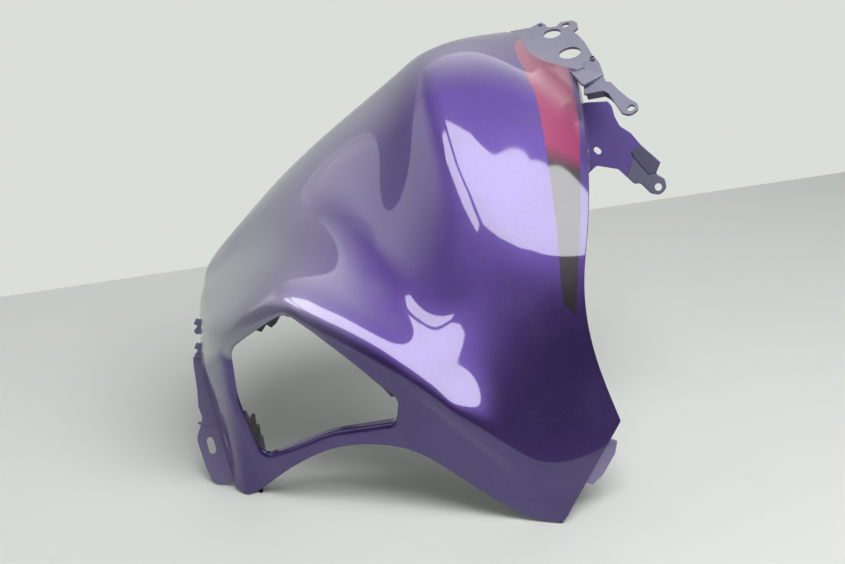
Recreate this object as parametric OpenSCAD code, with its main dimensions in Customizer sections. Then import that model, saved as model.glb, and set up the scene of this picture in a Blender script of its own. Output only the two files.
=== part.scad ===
// Motorcycle side fairing, one moulded piece, standing on its end as it is photographed.
// Millimetres, +X right, +Y away from the viewer, +Z up.

/* [Overall size] */
// Width of the painted skin, from the left edge to the lower right corner
skin_w = 390; // [330:5:460]
// Depth of the painted skin, front crest to back edge
skin_d = 304; // [254:5:354]
// Height of the painted skin
skin_h = 385; // [325:5:450]

/* [Moulding] */
// Wall thickness of the skin, flanges and arms
wall = 3; // [2.4:0.1:3.8]
// How far the rolled lip runs inward round the opening
lip_depth = 9; // [5:0.5:14]
// Size of the opening against its drawn outline
opening_scale = 1; // [0.9:0.01:1.06]
// How far the left flange stands back behind the painted skin
joggle = 3; // [2:0.2:5]

/* [Walls behind the skin] */
// Depth of the wall behind the lower right edge, which the part stands on
heel_depth = 165; // [140:5:190]
// Depth of the wall behind the left pillar
pillar_depth = 68; // [50:2:84]
// Depth of the return wall behind the upper right edge
return_depth = 34; // [24:1:44]

/* [Mountings] */
// Width of the slot in the left flange
slot_w = 8.5; // [6:0.5:10]
// Length of the slot in the left flange
slot_l = 16; // [12:0.5:19]
// Diameter of the front hole in the top flange
top_front_d = 21; // [14:0.5:23]
// Diameter of the back hole in the top flange
top_back_d = 17.5; // [12:0.5:19]
// Diameter of the small hole in the ear of the top flange
top_small_d = 8.5; // [6:0.5:10]
// Diameter of the holes at the ends of the two arms
eye_d = 7; // [5:0.2:8.4]
// Outer radius of the arm ends
eye_r = 7.6; // [6.6:0.2:9]

/* [Hidden] */
$fn = 48;
paint = [0.27, 0.17, 0.55];
size = [skin_w / 390, skin_d / 304, skin_h / 385];

// The skin is drawn with eight curves, each of ten points from left to right.
lower_edge = [[-172,-8,2],[-160,-17,0],[-150,-13,1],[-123,-28,29],[-81,-41,58],
              [-37,-51,68],[6,-57,58],[50,-59,28],[94,-62,3],[122,-66,0]];
ridge = [[-206,38,104],[-184,-14,140],[-164,-42,160],[-130,-56,190],[-83,-62,175],
         [-31,-65,140],[15,-66,102],[53,-67,69],[97,-68,30],[126,-66,4]];
crest = [[-207,48,125],[-190,-1,156],[-166,-34,177],[-130,-46,203],[-83,-57,189],
         [-29,-63,161],[14,-73,136],[54,-72,108],[101,-63,68],[160,-35,53]];
shoulder = [[-208,58,142],[-194,21,164],[-170,-3,185],[-133,-22,212],[-86,-31,206],
            [-31,-34,182],[18,-41,172],[62,-37,166],[104,-35,147],[155,-23,129]];
flank = [[-208,68,157],[-199,50,172],[-175,41,192],[-139,29,219],[-91,32,228],
         [-34,21,222],[25,23,250],[71,19,246],[111,20,237],[146,30,233]];
upper = [[-207,80,164],[-201,78,180],[-181,85,199],[-145,79,231],[-93,87,258],
         [-37,83,278],[10,96,326],[60,108,331],[112,101,316],[152,97,294]];
brow = [[-206,92,168],[-199,102,188],[-176,122,215],[-139,140,254],[-88,156,300],
        [-28,169,349],[7,173,374],[57,186,380],[104,148,355],[146,125,339]];
back_edge = [[-203,104,168],[-195,125,182],[-172,149,207],[-132,169,242],[-76,187,286],
             [-16,201,336],[24,206,368],[86,228,383],[104,179,369],[142,136,362]];
curves = [for (c = [lower_edge, ridge, crest, shoulder, flank, upper, brow, back_edge])
          [for (p = c) [p.x * size.x, p.y * size.y, p.z * size.z]]];
across = [0, 30, 60, 100, 148, 200, 255, 300, 345, 385];
upward = [0, 30, 62, 125, 195, 270, 305];
corner = [177 * size.x, -23 * size.y, 77 * size.z];
corner_up = 44;
// Lowest point of the drawn curves, and the shift that puts the part's middle over the origin.
ground = -1.6;
base = [-8.7 * size.x, -80.9 * size.y, -ground];

// Natural cubic curve through points p at stations t.
function ahead(t, p, i = 1, c = 0, d = 0, out = []) =
    i == len(t) - 1 ? out :
    let (a = t[i] - t[i - 1], b = t[i + 1] - t[i], m = 2 * (a + b) - a * c,
         r = 6 * ((p[i + 1] - p[i]) / b - (p[i] - p[i - 1]) / a),
         e = i == 1 ? r / m : (r - a * d) / m)
    ahead(t, p, i + 1, b / m, e, concat(out, [[b / m, e]]));
function behind(f, i, m, out) =
    i < 0 ? concat([m * 0], out) :
    let (n = f[i][1] - f[i][0] * m) behind(f, i - 1, n, concat([n], out));
function bends(t, p) =
    let (f = ahead(t, p), z = p[0] * 0) behind(f, len(f) - 1, z, [z]);
function span_of(t, x, i = 0) = i >= len(t) - 2 || x <= t[i + 1] ? i : span_of(t, x, i + 1);
function along(t, p, m, x) =
    let (k = span_of(t, x), h = t[k + 1] - t[k], a = t[k + 1] - x, b = x - t[k])
    m[k] * a * a * a / (6 * h) + m[k + 1] * b * b * b / (6 * h)
    + (p[k] / h - m[k] * h / 6) * a + (p[k + 1] / h - m[k + 1] * h / 6) * b;

curve_bends = [for (c = curves) bends(across, c)];
function soft(x) = let (s = min(1, max(0, x))) s * s * (3 - 2 * s);

// One column of the skin: where each curve stands at station u, and how it bends upward.
function column(u) =
    let (q = [for (i = [0 : 7]) along(across, curves[i], curve_bends[i], u)],
         o = [for (i = [1 : 7]) q[i]])
    [q[0], o, bends(upward, o)];
// The right edge runs straight from the lower tip to a sharp corner, then curves up to the top.
last = column(across[9]);
edge_ups = [corner_up, 62, 125, 195, 270, 305];
edge_points = concat([corner], [for (i = [2 : 6]) last[1][i]]);
edge_bends = bends(edge_ups, edge_points);
function edge_at(v) =
    v < corner_up ? last[1][0] + (corner - last[1][0]) * v / corner_up :
    along(edge_ups, edge_points, edge_bends, v);
// A point of the skin: v below 0 lies on the flat under the ridge, above it on the dome.
function at(col, u, v) =
    v < 0 ? col[0] * (-v) + col[1][0] * (1 + v) :
    let (p = along(upward, col[1], col[2], v))
    u <= 325 ? p : p + (edge_at(v) - along(upward, last[1], last[2], v)) * soft((u - 325) / 60);
function skin_at(u, v) = at(column(u), u, v);

u_steps = [for (i = [0 : 8]) for (k = [0 : 3]) across[i] + (across[i + 1] - across[i]) * k / 4,
           across[9]];
v_steps = concat([for (k = [0 : 5]) -1 + k / 6],
                 [for (k = [0 : 3]) k * 7.5], [30, 37, corner_up, 53],
                 [for (k = [0 : 4]) 62 + k * 12.6], [for (k = [0 : 5]) 125 + k * 11.67],
                 [for (k = [0 : 5]) 195 + k * 12.5], [for (k = [0 : 3]) 270 + k * 11.67]);
nu = len(u_steps);
nv = len(v_steps);
outer = [for (u = u_steps) let (c = column(u)) [for (v = v_steps) at(c, u, v)]];

function unit(a) = a / norm(a);
function facing(i, j) =
    let (a = outer[min(i + 1, nu - 1)][j] - outer[max(i - 1, 0)][j],
         b = outer[i][min(j + 1, nv - 1)] - outer[i][max(j - 1, 0)])
    unit(cross(a, b));
inner = [for (i = [0 : nu - 1]) [for (j = [0 : nv - 1]) outer[i][j] - facing(i, j) * wall]];

function face_pair(a, b, c, d) = [[a, b, c], [a, c, d]];
function flat1(l) = [for (a = l) for (b = a) b];

module skin() {
    n = nu * nv;
    function o(i, j) = i * nv + j;
    function q(i, j) = n + i * nv + j;
    polyhedron(
        points = concat(flat1(outer), flat1(inner)),
        faces = concat(
            flat1([for (i = [0 : nu - 2]) for (j = [0 : nv - 2])
                face_pair(o(i, j), o(i, j + 1), o(i + 1, j + 1), o(i + 1, j))]),
            flat1([for (i = [0 : nu - 2]) for (j = [0 : nv - 2])
                face_pair(q(i, j), q(i + 1, j), q(i + 1, j + 1), q(i, j + 1))]),
            flat1([for (i = [0 : nu - 2]) face_pair(o(i, 0), o(i + 1, 0), q(i + 1, 0), q(i, 0))]),
            flat1([for (i = [0 : nu - 2])
                face_pair(o(i, nv - 1), q(i, nv - 1), q(i + 1, nv - 1), o(i + 1, nv - 1))]),
            flat1([for (j = [0 : nv - 2]) face_pair(o(0, j), q(0, j), q(0, j + 1), o(0, j + 1))]),
            flat1([for (j = [0 : nv - 2])
                face_pair(o(nu - 1, j), o(nu - 1, j + 1), q(nu - 1, j + 1), q(nu - 1, j))])),
        convexity = 8);
}

// A wall along the points p: each point is swept by its own reach g and thickened by w.
module strip(p, g, w) {
    n = len(p);
    turned = cross(p[n - 1] - p[0], g[n - 2]) * w[0] < 0;
    a = turned ? w : g;
    b = turned ? g : w;
    function id(i, k) = 4 * i + k;
    polyhedron(
        points = flat1([for (i = [0 : n - 1]) [p[i], p[i] + a[i], p[i] + a[i] + b[i], p[i] + b[i]]]),
        faces = concat(
            flat1([for (i = [0 : n - 2]) for (k = [0 : 3])
                face_pair(id(i, k), id(i + 1, k), id(i + 1, (k + 1) % 4), id(i, (k + 1) % 4))]),
            face_pair(0, 1, 2, 3),
            face_pair(id(n - 1, 3), id(n - 1, 2), id(n - 1, 1), id(n - 1, 0))),
        convexity = 4);
}

// Puts its children on a plane: origin o, first axis near x, facing n.
module on_plane(o, x, n) {
    c = unit(n);
    a = unit(x - c * (x * c));
    b = cross(c, a);
    multmatrix([[a.x, b.x, c.x, o.x], [a.y, b.y, c.y, o.y], [a.z, b.z, c.z, o.z], [0, 0, 0, 1]])
        children();
}

// Outline with its corners rounded: each entry is [x, y, radius].
function round_at(a, b, c, r, n) =
    let (e = unit(a - b), f = unit(c - b), w = acos(e * f) / 2,
         l = min(r / tan(w), 0.48 * norm(a - b), 0.48 * norm(c - b)), q = l * tan(w),
         m = b + unit(e + f) * (q / sin(w)),
         s = b + e * l - m, t = b + f * l - m, z = acos(min(1, s * t / (norm(s) * norm(t)))))
    [for (k = [0 : n]) let (h = k / n) m + (s * sin((1 - h) * z) + t * sin(h * z)) / sin(z)];
function rounded(v, n = 5) =
    let (m = len(v))
    flat1([for (i = [0 : m - 1])
        let (a = v[(i + m - 1) % m], b = v[i], c = v[(i + 1) % m])
        round_at([a[0], a[1]], [b[0], b[1]], [c[0], c[1]], b[2], n)]);

facet_from = curves[0][1] + [4, 0, 0];
facet_x = curves[0][9] - curves[0][1];
facet_n = cross(facet_x, curves[1][4] - curves[0][1]);
opening = [[-10, 106, 60], [-10, 153, 24], [49, 199, 11], [141, 117, 14], [138, 93, 9],
           [78, 76, 90], [13, 40, 9]];
opening_mid = [58, 120];
opening_line = rounded([for (p = opening)
    [(opening_mid.x + (p[0] - opening_mid.x) * opening_scale) * size.x,
     (opening_mid.y + (p[1] - opening_mid.y) * opening_scale) * size.z, p[2]]]);

module opening_cut() {
    on_plane(facet_from, facet_x, facet_n)
        translate([0, 0, -45]) linear_extrude(75) polygon(opening_line);
}

module opening_lip() {
    on_plane(facet_from, facet_x, facet_n)
        translate([0, 0, -lip_depth]) linear_extrude(lip_depth - 1)
            offset(delta = wall) polygon(opening_line);
}

// Left flange, standing back from the skin, with its slot.
flange_foot = curves[0][0];
flange_head = curves[1][0];
flange_mid = flange_foot + (flange_head - flange_foot) / 2;
flange_k = norm(flange_head - flange_foot) / 117;
flange_line = [[73, 7], [68, -7], [60, -9], [39, -12], [22, -16], [12, -15], [5, -19], [-3, -25],
               [-7, -26.5], [-12, -26.5], [-24, -26], [-35, -25.5], [-46, -23], [-51, -19],
               [-53.5, -3], [-52, 7], [-25, 5], [20, 5]];
module left_flange() {
    on_plane(flange_mid, flange_head - flange_foot, [-0.30, -0.93, 0.32])
        translate([0, 0, -joggle - wall]) difference() {
            linear_extrude(wall) polygon([for (p = flange_line) [p[0] * flange_k, -p[1]]]);
            translate([-15.5 * flange_k, 14.5, -1]) slot(slot_w, slot_l, wall + 2);
        }
}

module slot(w, l, h) {
    for (side = [-1, 1]) translate([side * (l - w) / 2, 0, 0]) cylinder(d = w, h = h);
    translate([-(l - w) / 2, -w / 2, 0]) cube([l - w, w, h]);
}

// Two small hooks behind the upper left edge, one above the other.
hook_line = [[-6, -4], [7, -7], [9, -1], [5, 0], [8, 5], [6, 8], [-6, 7]];
module left_hooks() {
    for (v = [16, 48])
        on_plane(skin_at(0, v) + [3, 3, 0], [-1, 0.3, 0], [0, -1, 0.35])
            linear_extrude(wall) polygon(hook_line);
}

// Top flange, a plate set just under the skin, with three holes, a clip and a peg.
top_from = curves[7][8];
top_n = unit(cross(curves[7][9] - top_from, curves[7][7] - top_from));
top_line = [[-17, 55.5], [3, 54.5], [10.5, 59], [14.5, 61], [18.5, 55.5], [20, 48], [28.5, 46.5],
            [34, 54], [45, 52.5], [49.5, 46.5], [49.5, 36.5], [43, 30], [47.5, 23.5], [52.5, 7.5],
            [55.5, -9], [58, -24.5], [60, -28], [62.5, -38], [63.5, -58.5], [43, -69.5],
            [34.5, -43.5], [25.5, -28], [14, -18], [1.5, -7.5], [-9, 8], [-19.5, 26.5]];
module top_flange() {
    on_plane(top_from, [1, 0, 0], top_n) translate([0, 0, -2 - wall]) {
        difference() {
            linear_extrude(wall) polygon([for (p = top_line) p * size.x]);
            translate([37, -8.5, 0] * size.x + [0, 0, -1]) cylinder(d = top_front_d, h = wall + 2);
            translate([23.5, 34.5, 0] * size.x + [0, 0, -1]) cylinder(d = top_back_d, h = wall + 2);
            translate([38, 46, 0] * size.x + [0, 0, -1]) cylinder(d = top_small_d, h = wall + 2);
        }
        translate([11.5, 54, 0] * size.x) cube([4.5, 2.5, wall + 2]);
        translate([56.5, -31.5, 0] * size.x) cylinder(d = 5, h = wall + 4);
    }
}

// Upper arm: a plate with a turned down side and an eye.
arm_from = curves[7][9] + [20, 0, 6];
upper_arm = [[-12.5, 5], [3, -1.5], [8.5, -17.5], [11.5, -24.5], [16, -25.5], [24.5, -36], [35.5, -47.5],
             [41.5, -53], [33.5, -63], [15.5, -39.5], [10.5, -35.5], [-8, -37.5]];
upper_eye = [38, -58.5];
module upper_arm() {
    on_plane(arm_from, [1, 0, -0.3], [-0.35, -0.55, 0.76]) {
        difference() {
            union() {
                translate([0, 0, -wall]) linear_extrude(wall) polygon(upper_arm);
                translate([upper_eye.x, upper_eye.y, -wall]) cylinder(r = eye_r, h = wall);
            }
            translate([upper_eye.x, upper_eye.y, -wall - 1]) cylinder(d = eye_d, h = wall + 2);
        }
        translate([0, 0, -9]) linear_extrude(8) polygon([[-6, -37.5], [10.5, -35.5], [15.5, -39.5],
            [31, -57], [33, -55], [17.5, -37], [11.5, -33], [-6, -34.5]]);
    }
}

// Lower arm: a broad plate, a block folded back from its top, and an eye on a lowered end.
lower_from = curves[5][9] + [17, 41, 13];
lower_arm = [[-22, 17], [-0.5, 24.5], [4.5, 21], [10, 12.5], [17, 5.5], [29, 2], [40.5, -5.5],
             [64, -16.5], [63, -28], [71, -31], [65, -47], [52, -41], [46.5, -43],
             [28, -34], [7.5, -36.5], [-2, -53], [-12.5, -53]];
lower_eye = [69, -39.5];
module lower_arm() {
    on_plane(lower_from, [1, 0, -0.3], [-0.10, -0.96, 0.26]) {
        difference() {
            union() {
                translate([0, 0, -wall]) linear_extrude(wall) polygon(lower_arm);
                translate([lower_eye.x, lower_eye.y, -wall]) cylinder(r = eye_r, h = wall);
            }
            translate([lower_eye.x, lower_eye.y, -wall - 1]) cylinder(d = eye_d, h = wall + 2);
            translate([2.7, -22, -wall - 1]) rotate([0, 0, -25]) translate([3, 0, 0])
                cylinder(d = 5, h = wall + 2);
            translate([2.7, -22, -wall - 1]) cylinder(d = 5, h = wall + 2);
        }
        translate([0, 0, -13]) linear_extrude(12)
            polygon([[33, -14], [40.5, -5.5], [64, -16.5], [63, -28], [60, -26], [60.5, -18],
                     [41, -9], [35.5, -15.5]]);
    }
}

// Return wall behind the upper right edge.
module right_return() {
    v = [for (k = [0 : 8]) 174 + k * 16];
    strip([for (a = v) edge_at(a) + [-wall, 0.5, 0]],
          [for (a = v) [0.22, 0.93, -0.2] * return_depth * soft(0.45 + (a - 178) / 30)],
          [for (a = v) [wall - 0.4, 0, 0]]);
}

// Wall behind the lower right edge. It gives the part its rear footing.
module heel() {
    v = [0, corner_up * 0.25, corner_up * 0.5, corner_up * 0.75, corner_up];
    foot = concat([[curves[0][9].x, curves[0][9].y, 0]], [for (a = v) edge_at(a)]);
    reach = [1, 0.99, 0.93, 0.78, 0.56, 0.3];
    strip([for (i = [0 : 5]) foot[i] + [-wall * 0.8, wall * 0.6, i == 0 ? ground : 0.5]],
          [for (i = [0 : 5]) [-0.1, 1, 0] * heel_depth * reach[i]
              + [0, 0, i == 0 ? 0 : i == 1 ? -2 : -4 * i]],
          [for (p = foot) [-wall, 0, 0]]);
}

// Small tab standing out past the lower right edge, behind the paint.
module edge_tab() {
    v = [for (k = [0 : 4]) corner_up * (0.36 + 0.11 * k)];
    strip([for (a = v) edge_at(a) + [-4, 3.2, 0]],
          [for (i = [0 : 4]) [15, 6, -8] * (i == 0 || i == 4 ? 0.75 : 1)], [for (a = v) [0, 2.6, 0.6]]);
}

// Wall behind the left pillar, with a notched rear edge, and its foot on the ground.
module pillar_wall() {
    v = [-1, -0.93, -0.92, -0.84, -0.83, -0.76, -0.75, -0.66, -0.65, -0.56];
    cut = [0.92, 1, 0.9, 0.94, 0.8, 0.86, 0.66, 0.72, 0.44, 0.25];
    p = [for (a = v) skin_at(46, a) + [0.5, 2, 0]];
    strip([for (i = [0 : 9]) i == 0 ? [p[0].x, p[0].y, ground] : p[i]],
          [for (i = [0 : 9]) [-2, pillar_depth * cut[i], i == 0 ? 0 : -4]],
          [for (i = [0 : 9]) [wall, 0, 0]]);
}

// Small notched tab seen inside the top of the opening, and a rib behind its long side.
module opening_bits() {
    on_plane(facet_from, facet_x, facet_n) {
        translate([0, 0, -lip_depth - 9]) linear_extrude(12)
            polygon([for (p = [[14, 184], [24, 191], [38, 198], [45, 197], [42, 191], [36, 186],
                               [31, 189], [26, 181], [20, 183], [17, 178]])
                [p[0] * size.x, p[1] * size.z]]);
        translate([0, 0, -lip_depth]) linear_extrude(4)
            polygon([for (p = [[62, 194], [131, 131], [141, 119], [134, 118], [127, 128.5], [66, 185]])
                [p[0] * size.x, p[1] * size.z]]);
    }
}

module panel() {
    color(paint) translate(base) {
        difference() {
            union() {
                skin();
                opening_lip();
            }
            opening_cut();
        }
        opening_bits();
        left_flange();
        left_hooks();
        top_flange();
        upper_arm();
        lower_arm();
        right_return();
        heel();
        edge_tab();
        pillar_wall();
    }
}

panel();
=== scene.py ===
"""A moulded side fairing panel: flake paint under clear coat, raw black inside, in a plain pale studio.

Lengths are in millimetres until a mesh is made, and the part's own frame is used throughout.
"""
from __future__ import annotations

import logging
import math
from dataclasses import dataclass, field
from enum import Enum
from typing import Sequence

import bpy
import numpy as np
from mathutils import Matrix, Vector
from mathutils.geometry import delaunay_2d_cdt

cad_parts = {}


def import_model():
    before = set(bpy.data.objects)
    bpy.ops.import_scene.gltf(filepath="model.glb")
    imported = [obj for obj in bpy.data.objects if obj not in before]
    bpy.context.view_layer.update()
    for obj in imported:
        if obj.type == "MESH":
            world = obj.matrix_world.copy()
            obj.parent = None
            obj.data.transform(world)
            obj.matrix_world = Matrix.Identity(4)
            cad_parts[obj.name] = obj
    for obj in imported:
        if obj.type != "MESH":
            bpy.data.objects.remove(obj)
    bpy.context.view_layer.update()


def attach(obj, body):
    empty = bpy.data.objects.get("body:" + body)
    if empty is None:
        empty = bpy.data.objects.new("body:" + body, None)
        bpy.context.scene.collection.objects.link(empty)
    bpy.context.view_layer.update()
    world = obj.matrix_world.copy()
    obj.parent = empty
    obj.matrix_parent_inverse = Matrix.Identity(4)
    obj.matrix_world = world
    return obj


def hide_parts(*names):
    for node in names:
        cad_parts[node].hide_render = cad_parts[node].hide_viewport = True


LOG = logging.getLogger("fairing")
ROOT_BODY = "root"
PANEL_NODE = "panel"

MM = 0.001
SKIN_WIDE = 385
SKIN_TALL = 305
# From the drawn curves to the part's own frame, with the skin inside the CAD box.
PART_SHIFT = np.array([-8.7, -80.84, 1.6])

Array = np.ndarray
Point2 = tuple[float, float]
Point3 = tuple[float, float, float]
Curve = tuple[Point3, ...]
Outline = tuple[tuple[float, ...], ...]
Colour = tuple[float, float, float]


def unit(v: Array) -> Array:
    """Returns v at length one, along its last axis."""
    return v / np.maximum(np.linalg.norm(v, axis=-1, keepdims=True), 1e-12)


def soft(x: Array) -> Array:
    """Returns the smooth step from 0 to 1 of x."""
    s = np.clip(x, 0.0, 1.0)
    return s * s * (3.0 - 2.0 * s)

# Form of the skin


class NaturalCurve:
    """A natural cubic curve on fixed stations, as weights on its points."""

    def __init__(self, stations: Sequence[float]) -> None:
        """Works out how the bends follow from the points.

        Args:
            stations: rising places of the points along the curve.
        """
        t = np.asarray(stations, float)
        n = len(t)
        h = np.diff(t)
        left = np.zeros((n, n))
        right = np.zeros((n, n))
        left[0, 0] = left[-1, -1] = 1.0
        for i in range(1, n - 1):
            left[i, i - 1:i + 2] = (h[i - 1], 2.0 * (h[i - 1] + h[i]), h[i])
            right[i, i - 1:i + 2] = (6.0 / h[i - 1], -6.0 / h[i - 1] - 6.0 / h[i], 6.0 / h[i])
        self.t = t
        self.bend = np.linalg.solve(left, right)

    def weights(self, x: Array) -> Array:
        """Weights of the points at x.

        Args:
            x: stations to evaluate, one per row of the result.

        Returns:
            An array of len(x) by the number of points.
        """
        x = np.asarray(x, float)
        k = np.clip(np.searchsorted(self.t, x, side="left") - 1, 0, len(self.t) - 2)
        h = self.t[k + 1] - self.t[k]
        a = self.t[k + 1] - x
        b = x - self.t[k]
        rows = np.arange(len(x))
        out = (self.bend[k] * (a ** 3 / (6 * h) - h * a / 6)[:, None]
               + self.bend[k + 1] * (b ** 3 / (6 * h) - h * b / 6)[:, None])
        out[rows, k] += a / h
        out[rows, k + 1] += b / h
        return out


@dataclass(frozen=True)
class Dent:
    """A shallow dent or swell, by how far it leans the surface."""

    across: float
    upward: float
    wide: float
    tall: float
    lean: Point3
    turn: float = 0.0

    def share(self, u: Array, v: Array) -> Array:
        """How strong the dent is at places on the skin.

        Args:
            u: places across.
            v: places upward.

        Returns:
            Shares from 0 to 1.
        """
        a, b = np.asarray(u, float) - self.across, np.asarray(v, float) - self.upward
        c, s = math.cos(math.radians(self.turn)), math.sin(math.radians(self.turn))
        return np.exp(-((a * c + b * s) / self.wide) ** 2 - ((b * c - a * s) / self.tall) ** 2)


@dataclass
class SkinForm:
    """The domed skin: eight curves across, each of ten points, lofted upward."""

    across: tuple[float, ...] = (0, 30, 60, 100, 148, 200, 255, 300, 345, SKIN_WIDE)
    upward: tuple[float, ...] = (0, 30, 62, 125, 195, 270, SKIN_TALL)
    corner: Point3 = (177, -23, 77)
    corner_up: float = 44
    edge_from: float = 325
    edge_over: float = 60
    wall: float = 3.0
    ridge_round: float = 3.0
    crest_round: float = 9.0
    round_from: float = 90
    round_over: float = 70
    lower_edge: Curve = (
        (-172, -8, 2), (-160, -17, 0), (-150, -13, 1), (-123, -28, 29), (-81, -41, 58),
        (-37, -51, 68), (6, -57, 58), (50, -59, 28), (94, -62, 3), (122, -66, 0))
    ridge: Curve = (
        (-206, 38, 104), (-184, -14, 140), (-164, -42, 160), (-130, -56, 190), (-83, -62, 175),
        (-31, -65, 140), (15, -66, 102), (53, -67, 69), (97, -68, 30), (126, -66, 4))
    crest: Curve = (
        (-207, 48, 125), (-190, -1, 156), (-166, -34, 177), (-130, -46, 203), (-83, -57, 189),
        (-29, -63, 161), (14, -73, 136), (54, -72, 108), (101, -63, 68), (160, -35, 53))
    shoulder: Curve = (
        (-208, 58, 142), (-194, 21, 164), (-170, -3, 185), (-133, -22, 212), (-86, -31, 206),
        (-31, -34, 182), (18, -41, 172), (62, -37, 166), (104, -35, 147), (155, -23, 129))
    flank: Curve = (
        (-208, 68, 157), (-199, 50, 172), (-175, 41, 192), (-139, 29, 219), (-91, 32, 228),
        (-34, 21, 222), (25, 23, 250), (71, 19, 246), (111, 20, 237), (146, 30, 233))
    upper: Curve = (
        (-207, 80, 164), (-201, 78, 180), (-181, 85, 199), (-145, 79, 231), (-93, 87, 258),
        (-37, 83, 278), (10, 96, 326), (60, 108, 331), (112, 101, 316), (152, 97, 294))
    brow: Curve = (
        (-206, 92, 168), (-199, 102, 188), (-176, 122, 215), (-139, 140, 254), (-88, 156, 300),
        (-28, 169, 349), (7, 173, 374), (57, 186, 380), (104, 148, 355), (146, 125, 339))
    back_edge: Curve = (
        (-203, 104, 168), (-195, 125, 182), (-172, 149, 207), (-132, 169, 242), (-76, 187, 286),
        (-16, 201, 336), (24, 206, 368), (86, 228, 383), (104, 179, 369), (142, 136, 362))
    dents: tuple[Dent, ...] = (
        Dent(246, 25, 54, 11, (0.20, 0.27, 0.48), 4.0),
        Dent(214, 58, 14, 18, (-0.02, 0.10, 0.02)),
        Dent(162, 40, 28, 12, (0.0, -0.07, -0.02)),
        Dent(286, 33, 20, 15, (-0.16, 0.08, 0.24)),
        Dent(268, 22, 14, 8, (0.06, 0.10, 0.22)),
        Dent(380, 246, 22, 38, (0.0, 0.50, 0.10)),
        Dent(325, 195, 20, 18, (0.0, 0.05, 0.0)),
        Dent(262, 82, 18, 12, (-0.10, -0.06, 0.0)),
        Dent(203, 88, 15, 16, (0.0, 0.16, 0.02)))

    def __post_init__(self) -> None:
        """Gathers the curves and prepares the splines."""
        rows = (self.ridge, self.crest, self.shoulder, self.flank, self.upper, self.brow, self.back_edge)
        self.low = np.array(self.lower_edge, float)
        self.net = np.array(rows, float)
        self.side = NaturalCurve(self.across)
        self.rise = NaturalCurve(self.upward)
        self.edge_rise = NaturalCurve((self.corner_up,) + self.upward[2:])
        self.edge_points = np.vstack([self.corner, self.net[2:, 9]])

    def edge(self, v: Array) -> Array:
        """Points of the right edge.

        Args:
            v: places upward, 0 and more.

        Returns:
            The points: a straight run to the corner, then a curve.
        """
        v = np.asarray(v, float)
        start = self.net[0, 9]
        line = start + (np.array(self.corner, float) - start) * (v / self.corner_up)[:, None]
        curve = self.edge_rise.weights(np.maximum(v, self.corner_up)) @ self.edge_points
        return np.where((v < self.corner_up)[:, None], line, curve)

    def sharp(self, u: Array, v: Array) -> Array:
        """Points of the skin with its ridge left sharp.

        Args:
            u: places across, 0 at the left edge and SKIN_WIDE at the right.
            v: places upward, -1 at the lower edge, 0 on the ridge and SKIN_TALL at the back edge.

        Returns:
            The points, one per row.
        """
        u = np.asarray(u, float)
        v = np.asarray(v, float)
        x = self.side.weights(u)
        high = np.maximum(v, 0.0)
        dome = np.einsum("ni,ijk,nj->nk", self.rise.weights(high), self.net, x)
        last = np.einsum("ni,ik->nk", self.rise.weights(high), self.net[:, 9])
        dome = dome + (self.edge(high) - last) * soft((u - self.edge_from) / self.edge_over)[:, None]
        w = np.clip(-v, 0.0, 1.0)[:, None]
        ruled = (x @ self.low) * w + (x @ self.net[0]) * (1 - w)
        return np.where((v < 0)[:, None], ruled, dome)

    def rounding(self, u: Array) -> tuple[Array, Array]:
        """How far the ridge's rounding reaches.

        Args:
            u: places across.

        Returns:
            Its reach below and above the ridge, in steps of v.
        """
        u = np.asarray(u, float)
        wider = self.crest_round - self.ridge_round
        r = self.crest_round - wider * soft((u - self.round_from) / self.round_over)
        zero = np.zeros_like(u)
        top = self.sharp(u, zero)
        below = np.linalg.norm(self.sharp(u, zero - 1) - top, axis=-1)
        above = np.linalg.norm(self.sharp(u, zero + 3) - top, axis=-1) / 3
        return np.minimum(r / below, 0.8), r / np.maximum(above, 1e-3)

    def at(self, u: Array, v: Array) -> Array:
        """Points of the skin with its ridge rounded.

        Args:
            u: places across.
            v: places upward.

        Returns:
            The points in the part's frame.
        """
        u = np.asarray(u, float)
        v = np.asarray(v, float)
        a, b = self.rounding(u)
        s = np.clip((v + a) / (a + b), 0.0, 1.0)[:, None]
        bend = ((1 - s) ** 2 * self.sharp(u, -a) + 2 * s * (1 - s) * self.sharp(u, 0 * a)
                + s ** 2 * self.sharp(u, b))
        inside = ((v > -a) & (v < b))[:, None]
        return np.where(inside, bend, self.sharp(u, v)) + PART_SHIFT

    def normal(self, u: Array, v: Array) -> Array:
        """Outward normals of the rounded skin, with its shallow dents.

        Args:
            u: places across.
            v: places upward.

        Returns:
            The normals, at length one.
        """
        du = 0.4
        dv = np.where(np.asarray(v) < 0, 0.004, 0.3)
        right = self.at(np.minimum(u + du, SKIN_WIDE), v) - self.at(np.maximum(u - du, 0), v)
        up = self.at(u, np.minimum(v + dv, SKIN_TALL)) - self.at(u, np.maximum(v - dv, -1))
        way = unit(np.cross(right, up))
        for dent in self.dents:
            way = way + dent.share(u, v)[:, None] * np.array(dent.lean)
        return unit(way)


@dataclass
class Plane:
    """A flat place in space: an origin, a first axis and the way that it faces."""

    origin: Array
    first: Array
    facing: Array

    def __post_init__(self) -> None:
        """Squares the axes."""
        self.origin = np.asarray(self.origin, float)
        self.c = unit(np.asarray(self.facing, float))
        first = np.asarray(self.first, float)
        self.a = unit(first - self.c * (first @ self.c))
        self.b = np.cross(self.c, self.a)

    def out(self, p: Array, depth: float | Array = 0.0) -> Array:
        """Space points of the plane points p, raised by depth."""
        p = np.atleast_2d(np.asarray(p, float))
        lift = np.broadcast_to(np.asarray(depth, float), (len(p),))
        return self.origin + p[:, :1] * self.a + p[:, 1:2] * self.b + lift[:, None] * self.c

    def flat(self, q: Array) -> Array:
        """Plane points under the space points q."""
        d = np.asarray(q, float) - self.origin
        return np.stack([d @ self.a, d @ self.b], -1)


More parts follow.
